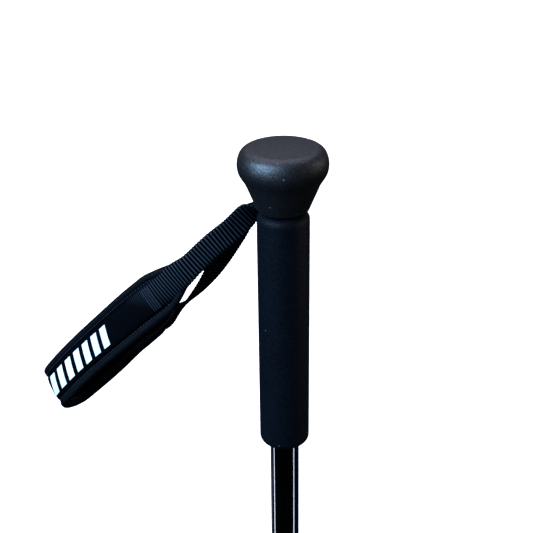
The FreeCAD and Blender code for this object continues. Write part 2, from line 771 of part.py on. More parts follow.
def strip_sections(stations, width, thick):
    """Rectangles across the strip, square to its centre line."""
    points = [Vector(*place) + Vector(0, 0, GRIP_TOP.value) for place, _, _ in stations]
    sections = []
    for i, (_, across, share) in enumerate(stations):
        along = points[min(i + 1, len(points) - 1)] - points[max(i - 1, 0)]
        side = Vector(*across).normalize() * (width * share / 2)
        face = along.cross(side).normalize() * (thick / 2)
        corners = [points[i] + side * a + face * b for a, b in ((1, 1), (1, -1), (-1, -1), (-1, 1))]
        sections.append(Part.makePolygon(corners + corners[:1]))
    return sections


def strip(label, stations, width, thick):
    """A flat band through its stations, ruled from section to section."""
    sections = strip_sections(stations, width, thick)
    band = doc.addObject("Part::Feature", label)
    band.Shape = Part.makeLoft(sections, True, True)
    band.Label = label
    return band


def round_the_end(first, last, steps):
    """Stations on the half turn that joins the two padded runs."""
    start, finish = Vector(*first[0]), Vector(*last[0])
    across = Vector(*first[1])
    out = across.cross(finish - start).normalize()
    if out.x > 0:
        out = out * -1
    middle = (start + finish) / 2
    half = (start - finish) / 2
    stations = []
    for k in range(1, steps):
        angle = math.pi * k / steps
        place = middle + half * math.cos(angle) + out * (half.Length * math.sin(angle))
        stations.append((tuple(place), first[1], 1.0))
    return stations


def strap_parts():
    """The tab with its eyelet in the gap, the two free runs and the padded end of the loop."""
    middle = number("strap_gap") / 2 + GRIP_TOP.value
    thick = number("tab_thick")
    low = Vector(0, 0, middle - thick / 2)
    disc_end = cylinder("tab_disc", D["tab_radius"], D["tab_thick"], low)
    tongue = primitive("Part::Box", "tab_tongue", Length=D["tab_length"], Width=D["webbing_width"],
                       Height=D["tab_thick"])
    turn = Rotation(Vector(0, 0, 1), TAB_HEADING)
    tongue.Placement = Placement(low + turn.multVec(Vector(0, -number("webbing_width") / 2, 0)), turn)
    hole = cylinder("tab_hole", D["eyelet_radius"], 6, low - Vector(0, 0, 2))
    tab = cut_from("strap_tab", fused("tab_plan", [disc_end, tongue]), [hole])
    tab.Label = "strap_tab"
    eyelet = sleeve("strap_eyelet", D["spacer_radius"] + 0.2, D["eyelet_radius"],
                    GRIP_TOP + 0.15, GRIP_TOP + D["strap_gap"] - 0.15)
    width, thin = number("webbing_width"), number("webbing_thick")
    pad_stations = FRONT_PAD + round_the_end(FRONT_PAD[-1], BACK_PAD[0], 6) + BACK_PAD
    return [
        tab,
        eyelet,
        strip("strap_front_webbing", FRONT_RUN, width, thin),
        strip("strap_back_webbing", BACK_RUN, width, thin),
        strip("strap_pad", pad_stations, number("pad_width"), number("pad_thick")),
    ]


# ---------------------------------------------------------------- build, check and write
def build():
    nodes = [hub(), foot_washers(), grub_screws()] + hub_fasteners()
    for name, side_x, side_y in FEET:
        nodes.append(leg("leg_" + name, side_x, side_y))
        nodes.append(foot("foot_" + name, side_x, side_y))
    nodes += [lower_tube()] + lock_parts()
    nodes += [upper_tube(), tube_glide(), grip()] + button_parts() + knob_parts()
    nodes += strap_parts()
    return nodes


def write(nodes):
    doc.recompute()
    for thing in doc.Objects:
        if {"Invalid", "Error"} & set(thing.State):
            raise RuntimeError(f"{thing.Label} failed: {thing.State}")
    os.makedirs("parts", exist_ok=True)
    for node in nodes:
        if node.Shape.isNull() or not node.Shape.isValid():
            raise RuntimeError(f"{node.Label} has no valid shape")
        node.Shape.exportStep(f"parts/{node.Label}.step")
        print(f"{node.Label}: {len(node.Shape.Solids)} solid(s), {node.Shape.Volume:.0f} mm3")


write(build())
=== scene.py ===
"""Looks of the walking cane: foam knob and grip, ribbed wrist strap with a pad, tubes, four-footed base."""

import json
import math

import bpy
import numpy as np
from mathutils import Matrix, Vector


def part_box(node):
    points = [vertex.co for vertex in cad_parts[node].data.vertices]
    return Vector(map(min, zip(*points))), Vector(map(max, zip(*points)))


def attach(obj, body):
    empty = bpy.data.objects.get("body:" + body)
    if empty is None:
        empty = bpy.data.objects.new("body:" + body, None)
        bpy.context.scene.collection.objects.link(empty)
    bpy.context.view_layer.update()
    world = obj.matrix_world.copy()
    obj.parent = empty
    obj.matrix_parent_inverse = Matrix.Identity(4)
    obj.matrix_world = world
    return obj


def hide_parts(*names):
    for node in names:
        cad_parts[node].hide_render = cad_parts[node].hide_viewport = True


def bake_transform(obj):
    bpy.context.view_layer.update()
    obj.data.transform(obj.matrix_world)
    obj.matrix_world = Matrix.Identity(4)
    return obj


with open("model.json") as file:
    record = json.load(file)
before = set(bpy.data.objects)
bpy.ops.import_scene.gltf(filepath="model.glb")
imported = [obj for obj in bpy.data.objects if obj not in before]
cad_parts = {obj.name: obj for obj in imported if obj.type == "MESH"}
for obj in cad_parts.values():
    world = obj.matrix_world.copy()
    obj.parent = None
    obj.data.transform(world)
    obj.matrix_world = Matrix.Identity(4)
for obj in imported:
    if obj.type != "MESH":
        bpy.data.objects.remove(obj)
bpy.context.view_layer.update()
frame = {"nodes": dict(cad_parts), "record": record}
scene = bpy.context.scene
nodes = frame["nodes"]
MM = 0.001
GRIP_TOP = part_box("grip_foam")[1].z
MOUTH_HEIGHT = (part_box("strap_tab")[0].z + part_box("strap_tab")[1].z) / 2


# ---------------------------------------------------------------- camera, floor and lights
def make_camera():
    """The front view of the grip, from a little above, rolled by under a degree."""
    place = (-0.0105, -0.6027, GRIP_TOP + 0.2572)
    tilt, roll = math.radians(64), math.radians(-0.78)
    data = bpy.data.cameras.new("camera")
    data.sensor_width = 36
    data.lens = 73.6
    camera = bpy.data.objects.new("camera", data)
    scene.collection.objects.link(camera)
    camera.matrix_world = (
        Matrix.Translation(place)
        @ Matrix.Rotation(tilt, 4, "X")
        @ Matrix.Rotation(roll, 4, "Z")
    )
    scene.camera = camera


def add_light(name, data, colour, only):
    """Links a light to the scene; with only, it lights just those objects."""
    data.color = colour
    light = bpy.data.objects.new(name, data)
    scene.collection.objects.link(light)
    light.visible_camera = False
    if only:
        lit = bpy.data.collections.new(name + "_lights")
        for thing in only:
            lit.objects.link(thing)
        light.light_linking.receiver_collection = lit
    return light


def area_light(name, place, target, size, power, colour, only=None):
    """A softbox at place, facing target."""
    data = bpy.data.lights.new(name, "AREA")
    data.shape = "RECTANGLE"
    data.size, data.size_y = size
    data.energy = power
    light = add_light(name, data, colour, only)
    light.location = place
    light.rotation_euler = (Vector(target) - Vector(place)).to_track_quat("-Z", "Y").to_euler()


def sky_light(name, strength, spread, tilt, colour, only=None):
    """A broad overhead light; tilt leans it about X and Y."""
    data = bpy.data.lights.new(name, "SUN")
    data.energy = strength
    data.angle = math.radians(spread)
    light = add_light(name, data, colour, only)
    light.rotation_euler = (math.radians(tilt[0]), math.radians(tilt[1]), 0)


def make_floor():
    """A pale floor that the camera sees all round, and that throws no light back on the cane."""
    reach = 30.0
    corners = [(-reach, -reach, 0), (reach, -reach, 0), (reach, reach, 0), (-reach, reach, 0)]
    mesh = bpy.data.meshes.new("floor")
    mesh.from_pydata(corners, [], [(0, 1, 2, 3)])
    floor = bpy.data.objects.new("floor", mesh)
    scene.collection.objects.link(floor)
    pale = Finish("pale_floor", (0.9, 0.9, 0.9), roughness=0.7, specular=0.1)
    grain = pale.noise(400.0, detail=2)
    pale.link("Base Color", pale.blend((0.9, 0.9, 0.9), (0.93, 0.93, 0.93), grain))
    mesh.materials.append(pale.material)
    floor.visible_diffuse = False
    floor.visible_glossy = False
    return floor


def make_world():
    """A pale sky that lights the cane more from above than from below; the camera sees it plain white."""
    below, above, to_camera = 0.02, 0.15, 1.3
    world = bpy.data.worlds.new("studio")
    world.use_nodes = True
    tree = world.node_tree
    background = tree.nodes["Background"]
    background.inputs["Color"].default_value = (0.86, 0.93, 1.0, 1)

    split = tree.nodes.new("ShaderNodeSeparateXYZ")
    tree.links.new(tree.nodes.new("ShaderNodeTexCoord").outputs["Generated"], split.inputs[0])
    dimmer = tree.nodes.new("ShaderNodeMapRange")
    tree.links.new(split.outputs[2], dimmer.inputs[0])
    for key, value in ((1, -0.35), (2, 0.25), (3, below), (4, above)):
        dimmer.inputs[key].default_value = value

    seen = tree.nodes.new("ShaderNodeMath")
    seen.operation = "MULTIPLY"
    seen.inputs[1].default_value = to_camera
    tree.links.new(tree.nodes.new("ShaderNodeLightPath").outputs["Is Camera Ray"], seen.inputs[0])
    strength = tree.nodes.new("ShaderNodeMath")
    strength.operation = "MAXIMUM"
    tree.links.new(dimmer.outputs[0], strength.inputs[0])
    tree.links.new(seen.outputs[0], strength.inputs[1])
    tree.links.new(strength.outputs[0], background.inputs["Strength"])
    scene.world = world


def make_studio():
    """Sky, floor and lights; some of the lights reach only the floor, the grip or the two tubes."""
    make_world()
    scene.view_settings.view_transform = "Standard"
    floor = make_floor()
    knob, shaft, grip = (0, 0, GRIP_TOP + 0.03), (0, 0, 0.45), (0, 0, 0.75)
    tubes = [nodes["upper_tube"], nodes["lower_tube"]]
    foam = [nodes["grip_foam"]]
    blue, pale_blue, cool = (0.42, 0.68, 1.0), (0.6, 0.72, 1.0), (0.85, 0.92, 1.0)
    warm, rosy = (1.0, 0.97, 0.9), (1.0, 0.9, 0.96)
    sky_light("ceiling", 1.9, 70, (-18, -6), (0.76, 0.75, 1.0))
    sky_light("floor_wash", 4.0, 90, (0, 0), (1.0, 1.0, 1.0), [floor])
    area_light("front_left", (-1.15, -0.82, 1.6), knob, (1.3, 1.0), 70, blue)
    area_light("right_fill", (1.2, 0.15, 1.1), knob, (0.5, 0.5), 1.6, warm)
    area_light("right_low", (1.0, -0.1, 0.75), grip, (0.4, 0.5), 2.2, cool, foam)
    area_light("strip_left", (-0.5, 0.05, 0.45), shaft, (0.05, 1.0), 27, pale_blue, tubes)
    area_light("strip_behind", (-0.45, 0.42, 0.45), shaft, (0.22, 1.0), 0.6, rosy, tubes)
    area_light("strip_right", (0.5, -0.1, 0.45), shaft, (0.05, 1.0), 27, pale_blue, tubes)


# ---------------------------------------------------------------- finishes
# Noise and cell scales count cells per metre, and bump depths are in metres.
class Finish:
    """A node material: a shader, and small helpers that feed its colour, roughness and bump."""

    def __init__(self, name, colour, roughness, specular=0.5, metallic=0.0):
        self.material = bpy.data.materials.new(name)
        self.material.use_nodes = True
        self.material.diffuse_color = (*colour, 1)
        self.tree = self.material.node_tree
        self.shader = self.tree.nodes["Principled BSDF"]
        for socket, value in (("Base Color", (*colour, 1)), ("Roughness", roughness),
                              ("Specular IOR Level", specular), ("Metallic", metallic)):
            self.shader.inputs[socket].default_value = value

    def add(self, kind, values=(), **settings):
        """A node of this kind; values are its inputs by name or number: constants or other sockets."""
        node = self.tree.nodes.new("ShaderNode" + kind)
        for key, value in settings.items():
            setattr(node, key, value)
        for key, value in dict(values).items():
            if isinstance(value, bpy.types.NodeSocket):
                self.tree.links.new(value, node.inputs[key])
            else:
                node.inputs[key].default_value = value
        return node

    def link(self, socket, source):
        self.tree.links.new(source, self.shader.inputs[socket])

    def place(self, stretch=None):
        """Row-frame coordinates at rest, in metres, each direction scaled by stretch."""
        spot = self.add("TexCoord").outputs["Object"]
        if stretch is None:
            return spot
        return self.add("Mapping", {"Vector": spot, "Scale": stretch}).outputs[0]

    def along(self, stretch=(1, 1, 1)):
        """The piece's own coordinates, the uvs that it was made with, scaled by stretch."""
        spot = self.add("UVMap").outputs[0]
        return self.add("Mapping", {"Vector": spot, "Scale": stretch}).outputs[0]

    def noise(self, scale, detail=2.0, at=None, rough=0.5):
        values = {"Vector": at or self.place(), "Scale": scale, "Detail": detail, "Roughness": rough}
        return self.add("TexNoise", values).outputs[0]

    def wave(self, at, pitch, direction):
        """Slightly uneven bands, one for each pitch of the coordinate that direction names."""
        own_period = 0.314  # a wave texture's bands lie this far apart at scale 1
        values = {"Vector": at, "Scale": own_period / pitch, "Distortion": 0.6}
        return self.add("TexWave", values, bands_direction=direction).outputs[1]

    def ramp(self, value, low, high, to_low=0.0, to_high=1.0):
        """value, mapped from low..high to to_low..to_high and kept there."""
        return self.add("MapRange", {0: value, 1: low, 2: high, 3: to_low, 4: to_high}).outputs[0]

    def maths(self, operation, a, b=0.0):
        return self.add("Math", {0: a, 1: b}, operation=operation).outputs[0]

    def blend(self, low, high, share):
        """The colour between low and high."""
        values = {0: share}
        for key, colour in ((6, low), (7, high)):
            values[key] = colour if isinstance(colour, bpy.types.NodeSocket) else (*colour, 1)
        return self.add("Mix", values, data_type="RGBA").outputs[2]

    def bump(self, height, depth, strength=1.0):
        """Raises the surface by up to depth metres; later calls add to earlier ones."""
        values = {"Height": height, "Distance": depth, "Strength": strength}
        if self.shader.inputs["Normal"].is_linked:
            values["Normal"] = self.shader.inputs["Normal"].links[0].from_socket
        self.link("Normal", self.add("Bump", values).outputs[0])


def foam_finish(name, dark, light, glint_share, gloss, roughness):
    """Closed-cell foam: a fine mottled grain, open pores, and a few pale specks painted as glints where
    pores catch light.
    """
    f = Finish(name, dark, roughness=roughness, specular=gloss)
    grain = f.noise(900.0, detail=3, rough=0.75)
    broad = f.noise(35.0, detail=2)
    mottle = f.maths("ADD", f.ramp(grain, 0.38, 0.66), f.ramp(broad, 0.3, 0.7, -0.15, 0.2))
    cells = f.add("TexVoronoi", {"Vector": f.place(), "Scale": 260.0})
    near = f.ramp(cells.outputs["Distance"], 0.07, 0.13, 1.0, 0.0)
    lot = f.add("SeparateColor", {0: cells.outputs["Color"]}).outputs[0]
    chosen = f.ramp(lot, 1 - glint_share, 1 - glint_share + 0.01)
    # pale specks on a share of the cells: painted glints, where pores would catch light
    pore_glint = f.maths("MULTIPLY", near, chosen)
    body = f.blend(dark, light, mottle)
    f.link("Base Color", f.blend(body, (0.2, 0.2, 0.21), pore_glint))
    f.link("Specular IOR Level", f.ramp(grain, 0.36, 0.64, 0.65 * gloss, 1.35 * gloss))
    f.link("Roughness", f.ramp(broad, 0.3, 0.7, roughness * 0.94, roughness * 1.06))
    pores = f.add("TexVoronoi", {"Vector": f.place(), "Scale": 1500.0}).outputs["Distance"]
    f.bump(pores, 0.00012, 0.6)
    f.bump(grain, 0.0003, 0.5)
    return f.material


def painted_finish(name, colour, roughness, specular, peel, peel_size):
    """Paint or powder coat: a faint orange peel and small changes of gloss."""
    f = Finish(name, colour, roughness, specular)
    skin = f.noise(1 / peel_size, detail=2)
    wear = f.noise(18.0, detail=4, rough=0.6)
    f.link("Base Color", f.blend(colour, tuple(1.5 * c for c in colour), f.ramp(wear, 0.4, 0.75)))
    f.link("Roughness", f.ramp(wear, 0.3, 0.7, roughness * 0.85, roughness * 1.2))
    f.bump(skin, peel)
    return f.material


def metal_finish(name, colour, roughness, lines):
    """Turned or plated metal: fine lines round the axis and a little cloudiness."""
    f = Finish(name, colour, roughness, metallic=1.0)
    scratch = f.noise(1.0, detail=3, at=f.place((lines * 0.08, lines * 0.08, lines)))
    cloud = f.noise(120.0)
    f.link("Base Color", f.blend(tuple(0.75 * c for c in colour), colour, f.ramp(cloud, 0.3, 0.7)))
    f.link("Roughness", f.ramp(scratch, 0.3, 0.7, roughness * 0.7, roughness * 1.4))
    f.bump(scratch, 0.00003, 0.5)
    return f.material


def rubber_finish(name, colour):
    """Tip rubber: dull, with faint patches of dust."""
    f = Finish(name, colour, roughness=0.8, specular=0.25)
    dust = f.noise(60.0, detail=5, rough=0.65)
    grain = f.noise(1800.0, detail=2)
    f.link("Base Color", f.blend(colour, tuple(c + 0.025 for c in colour), f.ramp(dust, 0.45, 0.8)))
    f.link("Roughness", f.ramp(dust, 0.3, 0.7, 0.7, 0.92))
    f.bump(grain, 0.0001, 0.6)
    return f.material


def moulded_finish(name, colour, roughness):
    """Injection-moulded nylon with a spark-eroded texture."""
    f = Finish(name, colour, roughness, specular=0.4)
    grain = f.noise(2200.0, detail=2)
    flow = f.noise(25.0, detail=3)
    f.link("Base Color", f.blend(colour, tuple(1.4 * c for c in colour), f.ramp(flow, 0.35, 0.7)))
    f.link("Roughness", f.ramp(flow, 0.3, 0.7, roughness * 0.9, roughness * 1.15))
    f.bump(grain, 0.00008, 0.7)
    return f.material


def webbing_finish(name, dark, light, yarn):
    """Ribbed tape: yarns run along it over the ribs; the rib crests get a painted highlight, and the
    hollows between ribs are painted dark as shade.

    Its own coordinates count ribs along it, and metres across it. The crest highlight is dimmed by
    painted shade on the pad's fine ribs, further down, and on the part that turns under the knob."""
    f = Finish(name, dark, roughness=0.5, specular=0.25)
    axes = f.add("SeparateXYZ", {0: f.along()})
    crest = f.maths("ABSOLUTE", f.maths("SINE", f.maths("MULTIPLY", axes.outputs[0], math.pi)))
    threads = f.wave(f.along((0.3, 1, 1)), yarn, "Y")
    tone = f.noise(1.0, detail=2, at=f.along((0.9, 1500.0, 1)))
    height = f.add("SeparateXYZ", {0: f.place()}).outputs[2]
    # painted shade: the crest highlight and its specular fade out lower down, over the pad's fine ribs, and
    # towards the turn under the knob
    painted_shade_low = f.ramp(height, GRIP_TOP - 67 * MM, GRIP_TOP - 55 * MM, 0.12, 1.0)
    painted_shade_turn = f.ramp(height, GRIP_TOP - 22 * MM, GRIP_TOP - 4 * MM, 1.0, 0.5)
    # lit is the painted highlight on the rib crests; the hollows between, left at the dark colour, are
    # painted shade
    lit = f.maths("MULTIPLY", f.ramp(crest, 0.7, 1.0), f.ramp(tone, 0.2, 0.8, 0.55, 1.0))
    lit = f.maths("MULTIPLY", f.maths("MULTIPLY", lit, painted_shade_low), painted_shade_turn)
    f.link("Base Color", f.blend(dark, light, lit))
    f.link("Specular IOR Level", f.ramp(lit, 0.0, 1.0, 0.004, 0.25))
    f.link("Roughness", f.ramp(tone, 0.3, 0.7, 0.4, 0.55))
    f.bump(threads, 0.00008, 0.5)
    return f.material


def thread_finish(name, dark, light):
    """Sewing thread: a short sheen, a little different from stitch to stitch."""
    f = Finish(name, dark, roughness=0.45, specular=0.3)
    tone = f.noise(900.0, detail=2)
    f.link("Base Color", f.blend(dark, light, f.ramp(tone, 0.3, 0.7)))
    f.bump(f.noise(5000.0), 0.00004, 0.6)
    return f.material


def binding_finish(name, dark, light):
    """Folded edge tape: fine cross ribs."""
    f = Finish(name, dark, roughness=0.6, specular=0.05)
    ribs = f.wave(f.along(), 0.8 * MM, "X")
    tone = f.noise(500.0, detail=3)
    f.link("Base Color", f.blend(dark, light, f.ramp(tone, 0.35, 0.7)))
    f.bump(ribs, 0.00012, 0.6)
    return f.material


def mesh_finish(name, dark, light):
    """Spacer mesh on the pad: small open cells."""
    f = Finish(name, dark, roughness=0.9, specular=0.01)
    cells = f.add("TexVoronoi", {"Vector": f.place(), "Scale": 750.0}).outputs["Distance"]
    f.link("Base Color", f.blend(dark, light, f.ramp(cells, 0.2, 0.6)))
    f.bump(cells, 0.0003, 0.7)
    return f.material


def print_finish(name):
    """Rubbery white print with a little grain."""
    f = Finish(name, (0.85, 0.87, 0.9), roughness=0.5, specular=0.4)
    grain = f.noise(700.0, detail=3)
    f.link("Base Color", f.blend((0.8, 0.82, 0.85), (0.96, 0.97, 0.98), f.ramp(grain, 0.3, 0.6)))
    f.bump(grain, 0.00008, 0.5)
    return f.material


# ---------------------------------------------------------------- mesh helpers
def piece(name, points, faces, uvs, material, smooth=True):
    """A mesh object; uvs has one pair for each point."""
    mesh = bpy.data.meshes.new(name)
    mesh.from_pydata([tuple(p) for p in points], [], faces)
    layer = mesh.uv_layers.new(name="UVMap")
    corners = np.empty(len(mesh.loops), np.int32)
    mesh.loops.foreach_get("vertex_index", corners)
    layer.data.foreach_set("uv", np.asarray(uvs, np.float32)[corners].ravel())
    if smooth:
        mesh.shade_smooth()
    mesh.materials.append(material)
    thing = bpy.data.objects.new(name, mesh)
    scene.collection.objects.link(thing)
    return thing


def skin(rings, closed=False):
    """Faces over a stack of equal rings; closed joins last to first, or else both ends are capped."""
    count, size = len(rings), len(rings[0])
    faces = []
    for i in range(count if closed else count - 1):
        here, there = i * size, (i + 1) % count * size
        for k in range(size):
            after = (k + 1) % size
            faces.append((here + k, there + k, there + after, here + after))
    if not closed:
        faces.append(tuple(range(size)))
        faces.append(tuple(reversed(range((count - 1) * size, count * size))))
    return faces


def natural_spline(knots, values, at):
    """A natural cubic through values, one row for each knot, read at the places in at."""
    steps = np.diff(knots)
    count = len(knots)
    system, right = np.eye(count), np.zeros_like(values)
    for i in range(1, count - 1):
        before, after = steps[i - 1], steps[i]
        system[i, i - 1:i + 2] = before, 2 * (before + after), after
        right[i] = 6 * ((values[i + 1] - values[i]) / after - (values[i] - values[i - 1]) / before)
    bend = np.linalg.solve(system, right)
    k = np.clip(np.searchsorted(knots, at, "right") - 1, 0, count - 2)
    h = steps[k][:, None]
    b = ((at - knots[k]) / steps[k])[:, None]
    a = 1 - b
    return (a * values[k] + b * values[k + 1]
            + ((a ** 3 - a) * bend[k] + (b ** 3 - b) * bend[k + 1]) * h * h / 6)


def unit(rows):
    return rows / np.linalg.norm(rows, axis=1)[:, None]


# ---------------------------------------------------------------- wrist strap
# Each station: place in millimetres from the middle of the grip's top, and direction across the strap.
FRONT_RUN = [
    ((-8.6, 6.0, 0.62), (0.57, 0.82, 0.0)),
    ((-12.3, 8.6, 0.5), (0.57, 0.82, 0.0)),
    ((-15.3, 10.7, -0.1), (0.57, 0.82, 0.0)),
    ((-17.2, 10.9, -2.2), (0.74, 0.58, -0.33)),
    ((-20.6, 10.6, -5.2), (0.82, 0.20, -0.53)),
    ((-28.5, 7.5, -12.3), (0.80, -0.12, -0.59)),
    ((-42.0, 5.0, -22.9), (0.74, -0.23, -0.63)),
    ((-54.0, 5.0, -34.5), (0.70, -0.29, -0.66)),
]
FRONT_PAD = [
    ((-61.5, 5.0, -41.5), (0.69, -0.31, -0.65)),
    ((-67.5, 5.0, -46.7), (0.68, -0.33, -0.65)),
    ((-75.5, 5.3, -54.4), (0.67, -0.36, -0.65)),
    ((-89.0, 7.0, -66.5), (0.66, -0.42, -0.62)),
    ((-110.0, 12.0, -87.2), (0.60, -0.53, -0.60)),
    ((-132.0, 18.0, -110.0), (0.54, -0.60, -0.59)),
    ((-152.0, 23.8, -133.5), (0.49, -0.63, -0.60)),
]
BACK_PAD = [
    ((-139.5, 39.5, -140.0), (0.49, -0.63, -0.60)),
    ((-112.5, 37.5, -115.2), (0.44, -0.74, -0.51)),
    ((-91.5, 33.0, -96.5), (0.34, -0.90, -0.28)),
    ((-70.5, 26.0, -82.0), (0.24, -0.97, 0.05)),
]
BACK_RUN = [
    ((-62.3, 22.0, -72.8), (0.07, -0.87, 0.48)),
    ((-48.6, 18.5, -55.0), (-0.62, -0.71, 0.34)),
    ((-34.3, 17.0, -30.0), (-0.62, -0.30, 0.72)),
    ((-23.6, 16.8, -10.0), (-0.74, -0.45, 0.50)),
    ((-19.4, 14.4, -0.8), (-0.68, -0.72, 0.10)),
    ((-15.6, 10.9, 1.6), (-0.57, -0.82, 0.0)),
    ((-12.3, 8.6, 1.5), (-0.57, -0.82, 0.0)),
    ((-8.6, 6.0, 1.38), (-0.57, -0.82, 0.0)),
]


def half_turn(first, last, steps=6):
    """Stations round the far end, between the two padded runs."""
    start, finish, across = Vector(first[0]), Vector(last[0]), Vector(first[1])
    out = across.cross(finish - start).normalized()
    if out.x > 0:
        out.negate()
    middle, half = (start + finish) / 2, (start - finish) / 2
    turn = [math.pi * k / steps for k in range(1, steps)]
    places = [middle + half * math.cos(t) + out * (half.length * math.sin(t)) for t in turn]
    return [(tuple(place), first[1]) for place in places]


class Strap:
    """The strap's centre line, read by distance along it in metres."""

    def __init__(self, stations):
        places = np.array([place for place, _ in stations]) * MM + (0, 0, GRIP_TOP)
        chords = np.linalg.norm(np.diff(places, axis=0), axis=1)
        self.knots = np.concatenate([[0], np.cumsum(chords)])
        self.places = places
        self.acrosses = unit(np.array([across for _, across in stations]))
        self.length = self.knots[-1]

    def axes(self, s):
        """Centre, direction along, across and outward at each distance."""
        s = np.asarray(s, float)
        centre = natural_spline(self.knots, self.places, s)
        step = 0.0004
        along = unit(natural_spline(self.knots, self.places, s + step)
                     - natural_spline(self.knots, self.places, s - step))
        across = natural_spline(self.knots, self.acrosses, s)
        across = unit(across - along * np.sum(across * along, axis=1)[:, None])
        return centre, along, across, np.cross(along, across)

    def rings(self, s, section):
        """section(row) gives that row's ring as arrays of across and outward offsets."""
        centre, _, across, out = self.axes(s)
        rings = []
        for i in range(len(s)):
            a, n = section(i)
            rings.append(centre[i] + across[i] * a[:, None] + out[i] * n[:, None])
        return rings


STATIONS = FRONT_RUN + FRONT_PAD + half_turn(FRONT_PAD[-1], BACK_PAD[0]) + BACK_PAD + BACK_RUN
strap = Strap(STATIONS)

# Where the pad starts and ends, as distances along the strap.
PAD_START = strap.knots[len(FRONT_RUN)]
PAD_END = strap.knots[-len(BACK_RUN) - 1]

# Half widths and thicknesses: pad, free tape, tape on the pad (BAND), tape in the gap (LAYER), and the
# binding's roll. BOW is how far the tape's face curves across its width.
PAD_HALF = 15.0 * MM
PAD_THICK = 4.2 * MM
WEBBING_HALF = 7.75 * MM
BAND_HALF = 9.3 * MM
WEBBING_THICK = 1.4 * MM
LAYER_THICK = 0.7 * MM
ROLL_HALF = 2.5 * MM
ROLL_TALL = 1.9 * MM
BOW = 0.8 * MM

# The pad's ends lie under the tape for COVER, and the bar tacks are TACK in from them.
COVER = 14 * MM
TACK = 29 * MM

# The tape's ribs: on its free runs, where the pad starts, and past the bar tacks.
FREE_PITCH, START_PITCH, FINE_PITCH = 2.4 * MM, 2.0 * MM, 1.4 * MM


def smooth_step(value, low, high):
    t = np.clip((value - low) / (high - low), 0, 1)
    return t * t * (3 - 2 * t)


def from_ends(s, low, high):
    """0 near both ends of the pad and beyond them, 1 in its middle, with an easy change from low to high."""
    return smooth_step(np.minimum(s - PAD_START, PAD_END - s), low, high)


def pad_share(s):
    """The pad's width at s as a share of its full width: its ends are narrower, and hidden by the tape."""
    lead = 0.5
    return lead + (1 - lead) * from_ends(s, -6 * MM, 28 * MM)


def sink(s):
    """How far the pad's ends lie in under the tape."""
    depth = 1.7 * MM
    return depth * (1 - from_ends(s, 0, COVER))


def on_pad(s):
    """0 where the tape is free, 1 where it lies on the pad."""
    return from_ends(s, -8 * MM, 6 * MM)


def tape_half(s):
    """Half the tape's width at s: it's wider where it lies on the pad."""
    return WEBBING_HALF + (BAND_HALF - WEBBING_HALF) * on_pad(s)


def bow(across, half):
    """How far the tape's face stands out of its mean plane: up in the middle, down at the edges."""
    return BOW * (0.4 - (across / half) ** 2)


def rib_phases():
    """Distances along the tape and the rib count there: coarse on the free runs, fine past the bar tacks."""
    dense = np.linspace(0, strap.length, 4000)
    pitch = (FREE_PITCH + (START_PITCH - FREE_PITCH) * from_ends(dense, -4 * MM, 6 * MM)
             + (FINE_PITCH - START_PITCH) * from_ends(dense, TACK - 2 * MM, TACK + 2 * MM))
    ribs = np.concatenate([[0], np.cumsum(np.diff(dense) / pitch[1:])])
    per_rib = 6
    phases = np.arange(0, ribs[-1], 1 / per_rib)
    return np.interp(phases, ribs, dense), phases


def make_webbing(material):
    """One ribbed tape round the whole loop: on the pad's outer face, and thinned to a layer in the gap.

    swell is 1 on a rib's crest and 0 in the hollow between two; lift is 1 where the tape lies on the pad,
    and free is 0 in the gap."""
    s, phases = rib_phases()
    swell = np.abs(np.sin(np.pi * phases)) ** 0.8
    lift = on_pad(s)
    free = smooth_step(np.minimum(s, strap.length - s), 6.5 * MM, 11 * MM)
    notch, seat = 0.3 * MM, PAD_THICK / 2 - WEBBING_THICK / 2 + 0.1 * MM
    half = tape_half(s) - notch * (1 - swell)
    thick = (LAYER_THICK + (WEBBING_THICK - LAYER_THICK) * free) / 2
    thick *= 1 - (0.2 + 0.4 * free) * (1 - swell)
    a = np.linspace(-1, 1, 11)
    edge = (1 - np.abs(a) ** 8) ** 0.5 * 0.7 + 0.3

    def section(i):
        top_a, low_a = a * half[i], a[::-1] * half[i] * 0.985
        rise = lift[i] * seat + (0.25 * free[i] + 0.75 * lift[i]) * bow(top_a, half[i])
        return (np.concatenate([top_a, low_a]),
                np.concatenate([rise + thick[i] * edge, rise[::-1] - thick[i] * edge[::-1]]))

    rings = strap.rings(s, section)
    uvs = [(phases[i], v * half[i]) for i in range(len(s)) for v in np.concatenate([a, a[::-1]])]
    return piece("strap_webbing", np.concatenate(rings), skin(rings), uvs, material)


def make_eyelet_tab(material):
    """The folded end of the tape round the steel eyelet, in the gap between grip and knob."""
    inner, outer, half, rim = 8.65 * MM, 12.2 * MM, 0.76 * MM, 0.3 * MM
    outline = [(inner, -half), (outer - rim, -half), (outer, -half + rim), (outer, half - rim),
               (outer - rim, half), (inner, half)]
    turn = np.linspace(0, 2 * np.pi, 96, endpoint=False)
    rings = [[(r * math.cos(t), r * math.sin(t), MOUTH_HEIGHT + z) for r, z in outline] for t in turn]
    uvs = [(t * outer / FREE_PITCH, r) for t in turn for r, _ in outline]
    faces = skin(rings, closed=True)
    return piece("strap_eyelet_tab", np.concatenate(rings), faces, uvs, material, smooth=False)


